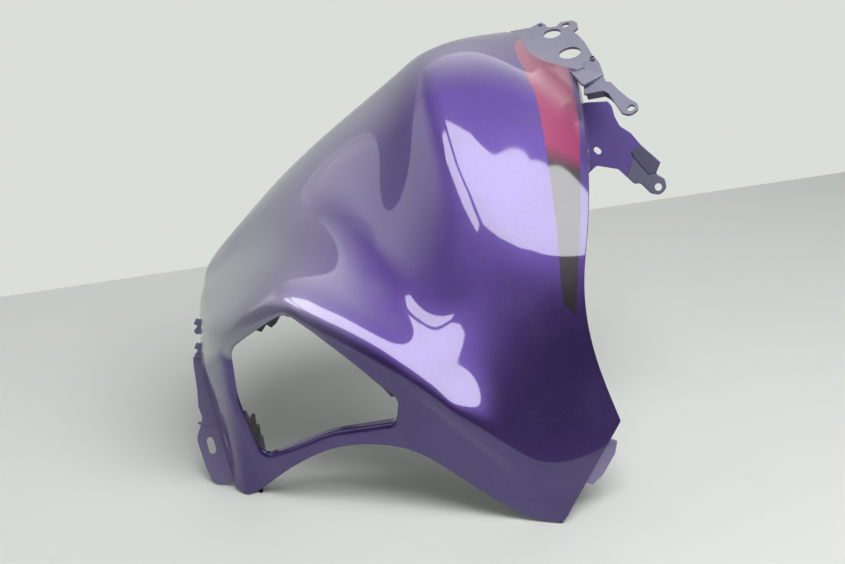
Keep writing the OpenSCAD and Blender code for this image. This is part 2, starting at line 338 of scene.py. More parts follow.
def rounded_line(corners: Sequence[tuple[float, float, float]], steps: int = 10) -> Array:
    """An outline with round corners.

    Args:
        corners: x, y and radius of each corner.
        steps: pieces in each round.

    Returns:
        The outline's points in order.
    """
    pts = np.array([c[:2] for c in corners], float)
    out = []
    for i, corner in enumerate(corners):
        a, b, c = pts[i - 1], pts[i], pts[(i + 1) % len(pts)]
        e, f = unit(a - b), unit(c - b)
        w = math.acos(float(e @ f)) / 2
        reach = min(corner[2] / math.tan(w), 0.48 * np.linalg.norm(a - b), 0.48 * np.linalg.norm(c - b))
        m = b + unit(e + f) * (reach * math.tan(w) / math.sin(w))
        s, t = b + e * reach - m, b + f * reach - m
        z = math.acos(min(1.0, float(s @ t) / float(np.linalg.norm(s) * np.linalg.norm(t))))
        for k in range(steps + 1):
            h = k / steps
            out.append(m + (s * math.sin((1 - h) * z) + t * math.sin(h * z)) / math.sin(z))
    return np.array(out)


def even_line(points: Array, spacing: float) -> Array:
    """A closed line again, with evenly spaced points.

    Args:
        points: the line's own points.
        spacing: how far apart the new ones are.

    Returns:
        The new points.
    """
    closed = np.vstack([points, points[:1]])
    run = np.concatenate([[0.0], np.cumsum(np.linalg.norm(np.diff(closed, axis=0), axis=1))])
    count = int(run[-1] / spacing)
    at = np.linspace(0, run[-1], count, endpoint=False)
    return np.stack([np.interp(at, run, closed[:, k]) for k in range(points.shape[1])], -1)


def ring_area(ring: Array) -> float:
    """Twice the area of a closed flat ring, negative where it runs clockwise."""
    return np.sum(ring[:, 0] * np.roll(ring[:, 1], -1) - np.roll(ring[:, 0], -1) * ring[:, 1])


def ring_normals(ring: Array) -> Array:
    """Outward normals of a closed flat ring, whichever way it runs."""
    ahead = np.roll(ring, -1, 0) - np.roll(ring, 1, 0)
    return unit(np.stack([ahead[:, 1], -ahead[:, 0]], -1)) * np.sign(ring_area(ring))


def inside_ring(points: Array, ring: Array) -> Array:
    """Tells which points lie inside a closed flat ring.

    Args:
        points: the flat points.
        ring: the ring's points in order.

    Returns:
        True for each point inside.
    """
    x, y = points[:, :1], points[:, 1:2]
    x1, y1 = ring[:, 0], ring[:, 1]
    x2, y2 = np.roll(x1, -1), np.roll(y1, -1)
    rise = np.where(np.abs(y2 - y1) < 1e-12, 1e-12, y2 - y1)
    hit = ((y1 > y) != (y2 > y)) & (x < (x2 - x1) * (y - y1) / rise + x1)
    return np.sum(hit, axis=1) % 2 == 1


def ring_distance(points: Array, ring: Array) -> Array:
    """Distances of points from a closed flat ring.

    Args:
        points: the flat points.
        ring: the ring's points in order.

    Returns:
        The distances, negative inside the ring.
    """
    a, b = ring, np.roll(ring, -1, 0)
    ab = b - a
    f = np.einsum("nmk,mk->nm", points[:, None] - a, ab) / np.maximum(np.sum(ab * ab, -1), 1e-12)
    near = a + np.clip(f, 0, 1)[..., None] * ab
    d = np.min(np.linalg.norm(points[:, None] - near, axis=-1), axis=1)
    return np.where(inside_ring(points, ring), -d, d)


def fill_flat(points: Array, edges: Sequence[tuple[int, int]]) -> tuple[Array, Array]:
    """Fills flat outlines with triangles.

    Args:
        points: the flat points.
        edges: pairs of their numbers that stay as edges.

    Returns:
        The triangles, anticlockwise and on the given points only, and their middles.
    """
    cut = delaunay_2d_cdt([Vector(p) for p in points], edges, [], 0, 1e-6, True)
    flat = np.array([tuple(p) for p in cut[0]])
    owner = np.array([o[0] if o else -1 for o in cut[3]])
    tris = np.array([f for f in cut[2] if len(f) == 3])
    tris = tris[(owner[tris] >= 0).all(axis=1)]
    p, q, r = (flat[tris[:, k]] for k in range(3))
    turn = (q[:, 0] - p[:, 0]) * (r[:, 1] - p[:, 1]) - (q[:, 1] - p[:, 1]) * (r[:, 0] - p[:, 0])
    tris = np.where((turn > 0)[:, None], tris, tris[:, ::-1])
    return owner[tris], flat[tris].mean(axis=1)


# Meshes


@dataclass
class MeshDraft:
    """Points, faces and normals on their way to becoming one mesh."""

    points: list[Array] = field(default_factory=list)
    normals: list[Array] = field(default_factory=list)
    maps: list[Array] = field(default_factory=list)
    faces: list[list[int]] = field(default_factory=list)
    kinds: list[int] = field(default_factory=list)

    def add(self, points: Array, normals: Array, maps: Array | None = None) -> int:
        """Adds points.

        Args:
            points: where they are, in millimetres.
            normals: which way the surface faces there.
            maps: their places across and upward on the skin, where they have any.

        Returns:
            The first one's number.
        """
        first = len(self.points)
        self.points.extend(points)
        self.normals.extend(normals)
        self.maps.extend(np.zeros((len(points), 2)) if maps is None else maps)
        return first

    def face(self, numbers: Sequence[int], kind: int = 0) -> None:
        """Adds one face of a finish."""
        self.faces.append([int(n) for n in numbers])
        self.kinds.append(kind)

    def band(self, low: int, high: int, count: int, kind: int = 0, closed: bool = True) -> None:
        """Adds the quads between two rows of count points each."""
        for i in range(count if closed else count - 1):
            j = (i + 1) % count
            self.face((low + i, low + j, high + j, high + i), kind)

    def build(self, name: str) -> bpy.types.Object:
        """Makes the mesh object.

        Args:
            name: the piece's name.

        Returns:
            The new object, in metres, with its own normals and its places on the skin.
        """
        mesh = bpy.data.meshes.new(name)
        mesh.from_pydata((np.array(self.points) * MM).tolist(), [], self.faces)
        mesh.polygons.foreach_set("use_smooth", [True] * len(mesh.polygons))
        mesh.polygons.foreach_set("material_index", self.kinds)
        places = np.zeros((len(self.points), 3))
        places[:, :2] = self.maps
        layer = mesh.attributes.new("skin_place", "FLOAT_VECTOR", "POINT")
        layer.data.foreach_set("vector", places.ravel())
        mesh.normals_split_custom_set_from_vertices(unit(np.array(self.normals)).tolist())
        piece = bpy.data.objects.new(name, mesh)
        bpy.context.scene.collection.objects.link(piece)
        return piece


@dataclass
class SkinGrid:
    """Rows and columns on the skin, closer together where it turns."""

    form: SkinForm
    columns: int = 180
    rows: tuple[int, int, int, int] = (46, 8, 20, 118)
    edge: float = 1.0

    def __post_init__(self) -> None:
        """Adds up the rows."""
        self.steps = np.concatenate([[0], np.cumsum(self.rows)])

    def across(self, s: Array) -> Array:
        """Place across of column s."""
        return self.edge + (SKIN_WIDE - 2 * self.edge) * np.asarray(s, float) / self.columns

    def upward(self, s: Array, t: Array) -> Array:
        """Places upward.

        Args:
            s: columns.
            t: rows.

        Returns:
            The places, with the rows shared out below, on and above the ridge's rounding.
        """
        u = self.across(s)
        t = np.clip(np.asarray(t, float), 0, self.steps[-1])
        a, b = self.form.rounding(u)
        zero = np.zeros_like(u)
        tall = np.linalg.norm(self.form.sharp(u, zero - 1) - self.form.sharp(u, zero), axis=-1)
        low = -1 + np.minimum(self.edge / tall, 0.15)
        knots = np.stack([low, -a, b, zero + self.form.corner_up, zero + SKIN_TALL - self.edge], -1)
        k = np.clip(np.searchsorted(self.steps, t, side="right") - 1, 0, 3)
        f = (t - self.steps[k]) / (self.steps[k + 1] - self.steps[k])
        i = np.arange(len(u))
        return knots[i, k] * (1 - f) + knots[i, k + 1] * f

    def at(self, s: Array, t: Array) -> Array:
        """Point of the skin at column s and row t."""
        return self.form.at(self.across(s), self.upward(s, t))

    def normal(self, s: Array, t: Array) -> Array:
        """Outward normal at column s and row t."""
        return self.form.normal(self.across(s), self.upward(s, t))

    def surface(self, st: Array) -> tuple[Array, Array, Array]:
        """The skin at given columns and rows.

        Args:
            st: a column and a row in each line.

        Returns:
            The points, their outward normals, and their places across and upward for the finishes.
        """
        s, t = st.T
        return self.at(s, t), self.normal(s, t), np.stack([self.across(s), self.upward(s, t)], -1)


@dataclass
class Opening:
    """The rounded triangular opening in the flat face under the ridge."""

    corners: Outline = ((-10, 106, 60), (-10, 153, 24), (49, 199, 11), (141, 117, 14), (138, 93, 9),
                        (78, 76, 90), (13, 40, 9))
    lip: float = 9.0
    roll: float = 6.0
    drop: float = 4.5
    spacing: float = 1.6
    round_steps: int = 24

    def plane(self, form: SkinForm) -> Plane:
        """The plane that the outline is drawn on.

        Args:
            form: the skin.

        Returns:
            A plane through the lower edge and the ridge's highest point.
        """
        foot = form.low[1]
        along = form.low[9] - foot
        return Plane(foot + [4, 0, 0] + PART_SHIFT, along, np.cross(along, form.net[0, 4] - foot))

    def ring(self) -> Array:
        """The outline as evenly spaced points, running anticlockwise."""
        ring = even_line(rounded_line(self.corners, self.round_steps), self.spacing)
        return ring if ring_area(ring) > 0 else ring[::-1]


@dataclass
class SkinSheet:
    """One face of the skin, outer or inner, with the opening left out of it."""

    grid: SkinGrid
    opening: Opening
    step: int = 1
    depth: float = 0.0
    reach: float = 6.0
    kind: int = 0
    gap: float = 1.2

    def find(self, target: Array, guess: Array, rounds: int = 14) -> Array:
        """Grid places whose points lie over given points of the opening's plane.

        Args:
            target: plane points.
            guess: a first column and row for each.
            rounds: how often each guess is bettered.

        Returns:
            Columns and rows.
        """
        plane = self.opening.plane(self.grid.form)
        q = guess.astype(float).copy()
        probe, farthest = 0.05, 6
        for _ in range(rounds):
            here = plane.flat(self.grid.at(q[:, 0], q[:, 1])) - target
            ds = (plane.flat(self.grid.at(q[:, 0] + probe, q[:, 1])) - target - here) / probe
            dt = (plane.flat(self.grid.at(q[:, 0], q[:, 1] + probe)) - target - here) / probe
            det = ds[:, 0] * dt[:, 1] - ds[:, 1] * dt[:, 0]
            move = np.stack([(here[:, 0] * dt[:, 1] - here[:, 1] * dt[:, 0]) / det,
                             (ds[:, 0] * here[:, 1] - ds[:, 1] * here[:, 0]) / det], -1)
            q -= np.clip(move, -farthest, farthest)
            q[:, 0] = np.clip(q[:, 0], 0, self.grid.columns)
            q[:, 1] = np.clip(q[:, 1], 0, self.grid.steps[-1])
        return q

    def build(self, draft: MeshDraft) -> Array:
        """Adds the sheet to a draft.

        Args:
            draft: the mesh under way.

        Returns:
            The column and row of each point of the ring round the opening.
        """
        n, m = self.grid.columns // self.step, int(self.grid.steps[-1]) // self.step
        i, j = np.meshgrid(np.arange(n + 1), np.arange(m + 1), indexing="ij")
        s, t = (i * self.step).ravel().astype(float), (j * self.step).ravel().astype(float)
        plane = self.opening.plane(self.grid.form)
        line = self.opening.ring()
        ring = line + ring_normals(line) * self.reach
        low = np.flatnonzero(t <= self.grid.steps[2] + 2)
        places = plane.flat(self.grid.at(s[low], t[low]))
        away = np.full(len(s), np.inf)
        away[low] = ring_distance(places, ring)
        nearest = np.argmin(np.linalg.norm(places[None] - ring[:, None], axis=-1), axis=1)
        ring_st = self.find(ring, np.stack([s[low][nearest], t[low][nearest]], -1))
        near = (away < self.gap).reshape(n + 1, m + 1)
        taken = near[:-1, :-1] | near[1:, :-1] | near[:-1, 1:] | near[1:, 1:]
        sign = -1.0 if self.depth else 1.0
        st = np.vstack([np.stack([s, t], -1), ring_st])
        points, normal, maps = self.grid.surface(st)
        first = draft.add(points - normal * self.depth, normal * sign, maps)
        number = (first + np.arange((n + 1) * (m + 1))).reshape(n + 1, m + 1)
        for a, b in np.argwhere(~taken):
            quad = (number[a, b], number[a + 1, b], number[a + 1, b + 1], number[a, b + 1])
            draft.face(quad if sign > 0 else quad[::-1], self.kind)
        self.patch(draft, first, taken, near, st, len(ring))
        return ring_st

    def patch(self, draft: MeshDraft, first: int, taken: Array, near: Array, st: Array,
              count: int) -> None:
        """Fills the cells between the grid and the ring with triangles.

        Args:
            draft: the mesh under way.
            first: the number of the sheet's first point.
            taken: the cells that the ring runs through or that lie in it.
            near: the points in it or close to it.
            st: columns and rows of all points, those of the ring last.
            count: how many points the ring has.
        """
        n, m = taken.shape
        around = np.zeros((n + 1, m + 1), bool)
        around[:-1, :-1] |= taken
        around[1:, :-1] |= taken
        around[:-1, 1:] |= taken
        around[1:, 1:] |= taken
        keep = np.flatnonzero((around & ~near).ravel())
        order = np.concatenate([keep, np.arange(len(st) - count, len(st))])
        local = {int(g): k for k, g in enumerate(order)}
        edges = []
        for a, b in np.argwhere(taken):
            sides = (((a, b), (a + 1, b), (a, b - 1)), ((a + 1, b), (a + 1, b + 1), (a + 1, b)),
                     ((a, b + 1), (a + 1, b + 1), (a, b + 1)), ((a, b), (a, b + 1), (a - 1, b)))
            for p, q, c in sides:
                if not (0 <= c[0] < n and 0 <= c[1] < m) or not taken[c]:
                    edges.append((local[p[0] * (m + 1) + p[1]], local[q[0] * (m + 1) + q[1]]))
        base = len(keep)
        edges += [(base + k, base + (k + 1) % count) for k in range(count)]
        tris, middle = fill_flat(st[order] / self.step, edges)
        cell = np.floor(middle).astype(int)
        ok = (cell[:, 0] >= 0) & (cell[:, 0] < n) & (cell[:, 1] >= 0) & (cell[:, 1] < m)
        ok[ok] &= taken[cell[ok, 0], cell[ok, 1]]
        ok &= ~inside_ring(middle, st[-count:] / self.step)
        for tri in first + order[tris[ok]]:
            draft.face(tri[::-1] if self.depth else tri, self.kind)


@dataclass
class SkinShell:
    """The whole skin: outer face, inner face, soft outer edge and the rolled lip of the opening."""

    grid: SkinGrid
    opening: Opening
    paint: int = 0
    raw: int = 1
    inner_step: int = 2

    def build(self, name: str) -> bpy.types.Object:
        """Makes the skin as one mesh.

        Args:
            name: the piece's name.

        Returns:
            The new object.
        """
        draft = MeshDraft()
        wall = self.grid.form.wall
        outer = SkinSheet(self.grid, self.opening, 1, 0.0, self.opening.roll, self.paint)
        ring = outer.build(draft)
        inner = SkinSheet(self.grid, self.opening, self.inner_step, wall, wall, self.raw)
        inner_ring = inner.build(draft)
        self.outer_edge(draft, wall)
        self.lip(draft, ring, inner_ring, wall)
        return draft.build(name)

    def outer_edge(self, draft: MeshDraft, wall: float) -> None:
        """Adds the edge round the skin, softly rounded towards the painted face.

        Args:
            draft: the mesh under way.
            wall: the wall's thickness.
        """
        n, m = self.grid.columns, int(self.grid.steps[-1])
        i, j = np.arange(n + 1.0), np.arange(m + 1.0)
        runs = (np.stack([i, 0 * i], -1), np.stack([0 * j + n, j], -1),
                np.stack([i[::-1], 0 * i + m], -1), np.stack([0 * j, j[::-1]], -1))
        st, out = [], []
        for run in runs:
            p, normal, _ = self.grid.surface(run)
            st.append(run)
            out.append(unit(np.cross(np.gradient(p, axis=0), normal)))
        st, out = np.vstack(st), np.vstack(out)
        p, normal, maps = self.grid.surface(st)
        r = self.grid.edge
        rows = []
        for angle in np.radians(np.arange(0, 91, 18)):
            way = math.cos(angle) * normal + math.sin(angle) * out
            rows.append(draft.add(p - normal * r + way * r, way, maps))
        kinds = [self.paint] * len(rows) + [None, self.raw]
        rows.append(draft.add(p + out * r - normal * wall, out, maps))
        rows.append(draft.add(p + out * r - normal * wall, -normal, maps))
        rows.append(draft.add(p - normal * wall, -normal, maps))
        for a, b, kind in zip(rows, rows[1:], kinds):
            if kind is not None:
                draft.band(b, a, len(st), kind)

    def lip(self, draft: MeshDraft, ring: Array, inner_ring: Array, wall: float) -> None:
        """Adds the lip that rolls into the opening.

        Args:
            draft: the mesh under way.
            ring: column and row of the outer face's ring points.
            inner_ring: column and row of the inner face's ring points.
            wall: the wall's thickness.
        """
        plane = self.opening.plane(self.grid.form)
        line = self.opening.ring()
        flat_way = -ring_normals(line)
        into = flat_way[:, :1] * plane.a + flat_way[:, 1:] * plane.b
        p, normal, maps = self.grid.surface(ring)
        into = unit(into - normal * np.sum(into * normal, -1, keepdims=True))
        wide, deep = self.opening.roll, self.opening.drop
        span = np.sum((plane.out(line) - p) * into, -1, keepdims=True)
        rows = []
        for angle in np.radians(np.arange(0, 91, 10)):
            at = p + into * span * math.sin(angle) - normal * deep * (1 - math.cos(angle))
            way = unit(into * deep * math.sin(angle) + normal * wide * math.cos(angle))
            rows.append(draft.add(at, way, maps))
        kinds = [self.paint] * len(rows) + [None, self.raw] * 2
        back, back_normal, _ = self.grid.surface(inner_ring)
        back = back - back_normal * wall
        foot = plane.out(line, -self.opening.lip)
        behind = plane.out(line - flat_way * wall, -self.opening.lip)
        below = np.broadcast_to(-plane.c, foot.shape)
        for points, way in ((foot, into), (foot, below), (behind, below), (behind, -into), (back, -into)):
            rows.append(draft.add(points, way, maps))
        for a, b, kind in zip(rows, rows[1:], kinds):
            if kind is not None:
                draft.band(a, b, len(line), kind)


@dataclass
class Plate:
    """A flat moulded plate with round corners, holes and softened edges."""

    plane: Plane
    outline: Outline
    low: float
    high: float
    holes: Sequence = ()
    corner: float = 1.6
    soft_edge: float = 0.5
    corner_steps: int = 5
    hole_step: float = 7.5

    def ring(self, entries: Sequence) -> Array:
        """The rounded line through entries, each x, y and an optional radius."""
        return rounded_line([(e[0], e[1], e[2] if len(e) > 2 else self.corner) for e in entries],
                            self.corner_steps)

    def openings(self) -> list[Array]:
        """The lines of the holes, each given as x, y and a diameter or as its own points.

        Returns:
            One closed line for each hole.
        """
        turn = np.radians(np.arange(0, 360, self.hole_step))
        round_line = np.stack([np.cos(turn), np.sin(turn)], -1) / 2
        return [np.array(h[:2]) + h[2] * round_line if len(h) == 3 else np.array(h, float)
                for h in self.holes]

    def build(self, name: str) -> bpy.types.Object:
        """Makes the plate.

        Args:
            name: the piece's name.

        Returns:
            The new mesh object, in place.
        """
        draft = MeshDraft()
        edge = min(self.soft_edge, 0.4 * (self.high - self.low))
        insets, tops, bottoms = [], [], []
        for number, ring in enumerate([self.ring(self.outline)] + self.openings()):
            ring = ring[np.linalg.norm(ring - np.roll(ring, 1, 0), axis=-1) > 0.02]
            ring = ring[::-1] if (ring_area(ring) > 0) == (number > 0) else ring
            out = ring_normals(ring) * (-1 if number else 1)
            way = out[:, :1] * self.plane.a + out[:, 1:] * self.plane.b
            rows = []
            for side, turn in ((self.high, 1), (self.low, -1)):
                for angle in np.radians((0, 30, 60, 90)[::turn]):
                    at = ring - out * edge * (1 - math.sin(angle))
                    lift = side - turn * edge * (1 - math.cos(angle))
                    normal = way * math.sin(angle) + self.plane.c * turn * math.cos(angle)
                    rows.append(draft.add(self.plane.out(at, lift), normal))
            for above, below in zip(rows, rows[1:]):
                draft.band(below, above, len(ring))
            insets.append(ring - out * edge)
            tops.append(rows[0] + np.arange(len(ring)))
            bottoms.append(rows[-1] + np.arange(len(ring)))
        self.caps(draft, insets, np.concatenate(tops), np.concatenate(bottoms))
        return draft.build(name)

    @staticmethod
    def caps(draft: MeshDraft, rings: Sequence[Array], tops: Array, bottoms: Array) -> None:
        """Fills the two flat faces between the outline and the holes.

        Args:
            draft: the mesh under way.
            rings: the flat faces' lines, the outline first.
            tops: the numbers of their points on the upper face.
            bottoms: the same on the lower face.
        """
        edges, first = [], 0
        for ring in rings:
            edges += [(first + k, first + (k + 1) % len(ring)) for k in range(len(ring))]
            first += len(ring)
        tris, middle = fill_flat(np.vstack(rings), edges)
        keep = inside_ring(middle, rings[0])
        for ring in rings[1:]:
            keep &= ~inside_ring(middle, ring)
        for tri in tris[keep]:
            draft.face(tops[tri])
            draft.face(bottoms[tri[::-1]])


def slot_ring(x: float, y: float, length: float, width: float, turn: float = 0.0) -> list[Point2]:
    """The outline of a round-ended slot.

    Args:
        x: middle, first axis.
        y: middle, second axis.
        length: from end to end.
        width: across.
        turn: angle of its length in degrees.

    Returns:
        The outline's points.
    """
    half, r = (length - width) / 2, width / 2
    arc = np.radians(np.arange(-90, 91, 15))
    right = np.stack([half + r * np.cos(arc), r * np.sin(arc)], -1)
    ring = np.vstack([right, -right])
    c, s = math.cos(math.radians(turn)), math.sin(math.radians(turn))
    return [(x + c * p[0] - s * p[1], y + s * p[0] + c * p[1]) for p in ring]

# Mouldings round the skin


@dataclass
class Strip:
    """A wall swept along points of the skin, with a soft free edge."""

    start: Array
    reach: Array
    thick: Point3

    def build(self, name: str) -> bpy.types.Object:
        """Makes the wall.

        Args:
            name: the piece's name.

        Returns:
            The new mesh object, in place.
        """
        draft = MeshDraft()
        start, reach = self.start, self.reach
        thick = np.tile(np.array(self.thick, float), (len(start), 1))
        if np.dot(np.cross(start[-1] - start[0], reach[-2]), thick[0]) < 0:
            start, thick = start + thick, -thick
        tip = unit(reach)
        side = unit(thick)
        run = np.gradient(start, axis=0)
        out = unit(np.cross(run, reach))
        round_by = np.linalg.norm(thick, axis=-1, keepdims=True) / 2
        rows = [draft.add(start, -out), draft.add(start + reach - tip * round_by, -out)]
        for angle in np.radians(np.arange(30, 181, 30)):
            way = -side * math.cos(angle) + tip * math.sin(angle)
            rows.append(draft.add(start + reach - tip * round_by + side * round_by + way * round_by, way))
        rows.append(draft.add(start + thick, out))
        count = len(start)
        for a, b in zip(rows, rows[1:]):
            draft.band(b, a, count, closed=False)
        for end in (0, count - 1):
            way = unit(run[end]) * (1 if end else -1)
            ring = [draft.points[r + end] for r in rows]
            first = draft.add(np.array(ring), np.broadcast_to(way, (len(ring), 3)))
            order = list(range(first, first + len(ring)))
            draft.face(order if end else order[::-1])
        return draft.build(name)


@dataclass
class LeftFlange:
    """Flange set back behind the left edge, with a slot, a rib and two hooks above it."""

    form: SkinForm
    step: float = 3.0
    wall: float = 3.0
    facing: Point3 = (-0.30, -0.93, 0.32)
    drawn_length: float = 117
    outline: Outline = ((73, 7), (68, -7), (60, -9), (39, -12), (22, -16), (12, -15), (5, -19), (-3, -25),
                        (-7, -26.5), (-12, -26.5), (-24, -26), (-35, -25.5), (-46, -23), (-51, -19),
                        (-53.5, -3), (-52, 7), (-25, 5), (20, 5))
    slot: tuple[float, ...] = (-15.5, 14.5, 16.0, 8.5)
    rib: Outline = ((7, 21), (9.2, 19.4), (3.2, 6), (0.8, 7))
    hook: Outline = ((-6, -4), (7, -7), (9, -1), (5, 0), (8, 5), (6, 8), (-6, 7))
    hook_places: Point2 = (16, 48)

    def plane(self) -> Plane:
        """The plane that the flange lies in."""
        foot, head = self.form.low[0], self.form.net[0, 0]
        return Plane((foot + head) / 2 + PART_SHIFT, head - foot, self.facing)

    def build(self) -> list[bpy.types.Object]:
        """Makes the flange, its rib and the hooks.

        Returns:
            The new pieces.
        """
        k = np.linalg.norm(self.form.net[0, 0] - self.form.low[0]) / self.drawn_length
        outline = [(x * k, -y) for x, y in self.outline]
        x, y, length, width = self.slot
        hole = slot_ring(x * k, y, length, width)
        low = -self.step - self.wall
        top = -self.step
        made = [Plate(self.plane(), outline, low, top, (hole,), corner=1.4).build("left_flange"),
                Plate(self.plane(), self.rib, top - 0.4, top + 0.9, corner=0.8,
                      soft_edge=0.4).build("left_flange_rib")]
        for number, v in enumerate(self.hook_places):
            at = self.form.sharp(np.zeros(1), np.array([float(v)]))[0] + PART_SHIFT + [3, 3, 0]
            plane = Plane(at, (-1, 0.3, 0), (0, -1, 0.35))
            made.append(Plate(plane, self.hook, 0, self.wall, corner=1.0).build(f"left_hook_{number + 1}"))
        return made


@dataclass
class TopFlange:
    """Drilled plate just under the skin's top right edge, with a clip, a peg and a rib."""

    form: SkinForm
    wall: float = 3.0
    drop: float = 2.0
    outline: Outline = ((-17, 55.5), (3, 54.5), (10.5, 59), (14.5, 61), (18.5, 55.5), (20, 48, 6),
                        (28.5, 46.5, 3), (34, 54), (45, 52.5), (49.5, 46.5), (49.5, 36.5), (43, 30, 3),
                        (47.5, 23.5, 6), (52.5, 7.5, 10), (55.5, -9, 10), (58, -24.5), (60, -28),
                        (62.5, -38), (63.5, -58.5), (43, -69.5), (34.5, -43.5), (25.5, -28), (14, -18),
                        (1.5, -7.5), (-9, 8), (-19.5, 26.5))
    holes: Outline = ((37, -8.5, 21), (23.5, 34.5, 17.5), (38, 46, 8.5))
    clip: Outline = ((11.5, 54), (16, 54), (16, 56.5), (11.5, 56.5))
    peg: Point3 = (56.5, -31.5, 5)
    rib: Outline = ((39, -42.5), (60, -34.5), (60.2, -36.5), (39.4, -44.2))

    def plane(self) -> Plane:
        """The plane of the skin's top right edge."""
        start = self.form.net[6, 8]
        facing = np.cross(self.form.net[6, 9] - start, self.form.net[6, 7] - start)
        return Plane(start + PART_SHIFT, (1, 0, 0), facing)

    def build(self) -> list[bpy.types.Object]:
        """Makes the plate, its clip, its peg and the low rib on it.

        Returns:
            The new pieces.
        """
        plane = self.plane()
        top = -self.drop
        low = top - self.wall
        x, y, wide = self.peg
        peg = tuple((x + wide / 2 * math.cos(a), y + wide / 2 * math.sin(a))
                    for a in np.radians(np.arange(0, 360, 30)))
        return [Plate(plane, self.outline, low, top, self.holes, corner=1.5).build("top_flange"),
                Plate(plane, self.clip, low, top + 2, corner=0.5, soft_edge=0.4).build("top_clip"),
                Plate(plane, peg, low, top + 4, corner=0.4, soft_edge=0.6).build("top_peg"),
                Plate(plane, self.rib, top - 0.5, top + 1.2, corner=0.6, soft_edge=0.5).build("top_rib")]


@dataclass
class UpperArm:
    """Arm with a turned down side and an eye."""

    form: SkinForm
    wall: float = 3.0
    outline: Outline = ((-12.5, 5), (3, -1.5), (8.5, -17.5, 4), (11.5, -24.5, 3), (16, -25.5, 3),
                        (24.5, -36, 4), (35.5, -47.5, 4), (43.5, -53.5, 6.5), (45, -60.3, 6.5),
                        (38.3, -67, 6.5), (30.3, -63.5, 4), (15.5, -39.5, 3), (10.5, -35.5, 3),
                        (-8, -37.5))
    eye: Point3 = (38, -58.5, 7)
    skirt: Outline = ((-6, -37.5), (10.5, -35.5), (15.5, -39.5), (31, -57), (33, -55), (17.5, -37),
                      (11.5, -33), (-6, -34.5))
    skirt_low: float = -9
    root: Point3 = (20, 0, 6)
    along: Point3 = (1, 0, -0.3)
    facing: Point3 = (-0.35, -0.55, 0.76)

    def build(self) -> list[bpy.types.Object]:
        """Makes the arm and its turned down side.

        Returns:
            The new pieces.
        """
        plane = Plane(self.form.net[6, 9] + self.root + PART_SHIFT, self.along, self.facing)
        top = Plate(plane, self.outline, -self.wall, 0, (self.eye,)).build("upper_arm")
        side = Plate(plane, self.skirt, self.skirt_low, -1, corner=0.8).build("upper_arm_side")
        return [top, side]


@dataclass
class LowerArm:
    """Broad arm with a folded block, a slot at its root and an eye at its end."""

    form: SkinForm
    wall: float = 3.0
    outline: Outline = ((-22, 17), (-0.5, 24.5), (4.5, 21, 3), (10, 12.5, 4), (17, 5.5, 6), (29, 2, 4),
                        (40.5, -5.5), (64, -16.5), (63, -28, 2), (72.2, -30.3, 4), (77, -38.5, 7),
                        (72.8, -46.7, 7), (64, -47.3, 5), (52, -41, 3), (46.5, -43, 3), (28, -34, 6),
                        (7.5, -36.5, 4), (-2, -53), (-12.5, -53))
    eye: Point3 = (69, -39.5, 7)
    slot: tuple[float, ...] = (4.06, -22.6, 8, 5, -25)
    block: Outline = ((34.5, -15), (40.5, -6), (63.5, -17), (62.5, -28), (57, -31), (38, -19))
    block_low: float = -13
    end: Outline = ((38, -19.5), (57, -31.5), (62, -28.5, 2), (71.8, -30.8, 4), (76.6, -38.5, 7),
                    (72.5, -46.3, 7), (64.2, -46.9, 5), (52, -40.5, 3), (46.5, -42.4, 3), (38, -38.5))
    root: Point3 = (17, 41, 13)
    along: Point3 = (1, 0, -0.3)
    facing: Point3 = (-0.10, -0.96, 0.26)

    def build(self) -> list[bpy.types.Object]:
        """Makes the arm, its block and its folded end.

        Returns:
            The new pieces.
        """
        plane = Plane(self.form.net[4, 9] + self.root + PART_SHIFT, self.along, self.facing)
        holes = (self.eye, slot_ring(*self.slot))
        arm = Plate(plane, self.outline, -self.wall, 0, holes).build("lower_arm")
        block = Plate(plane, self.block, self.block_low, 1.2, corner=0.8,
                      soft_edge=0.6).build("lower_arm_block")
        end = Plate(plane, self.end, -1, 0.5, (self.eye,), corner=0.8, soft_edge=0.4).build("lower_arm_end")
        return [arm, block, end]


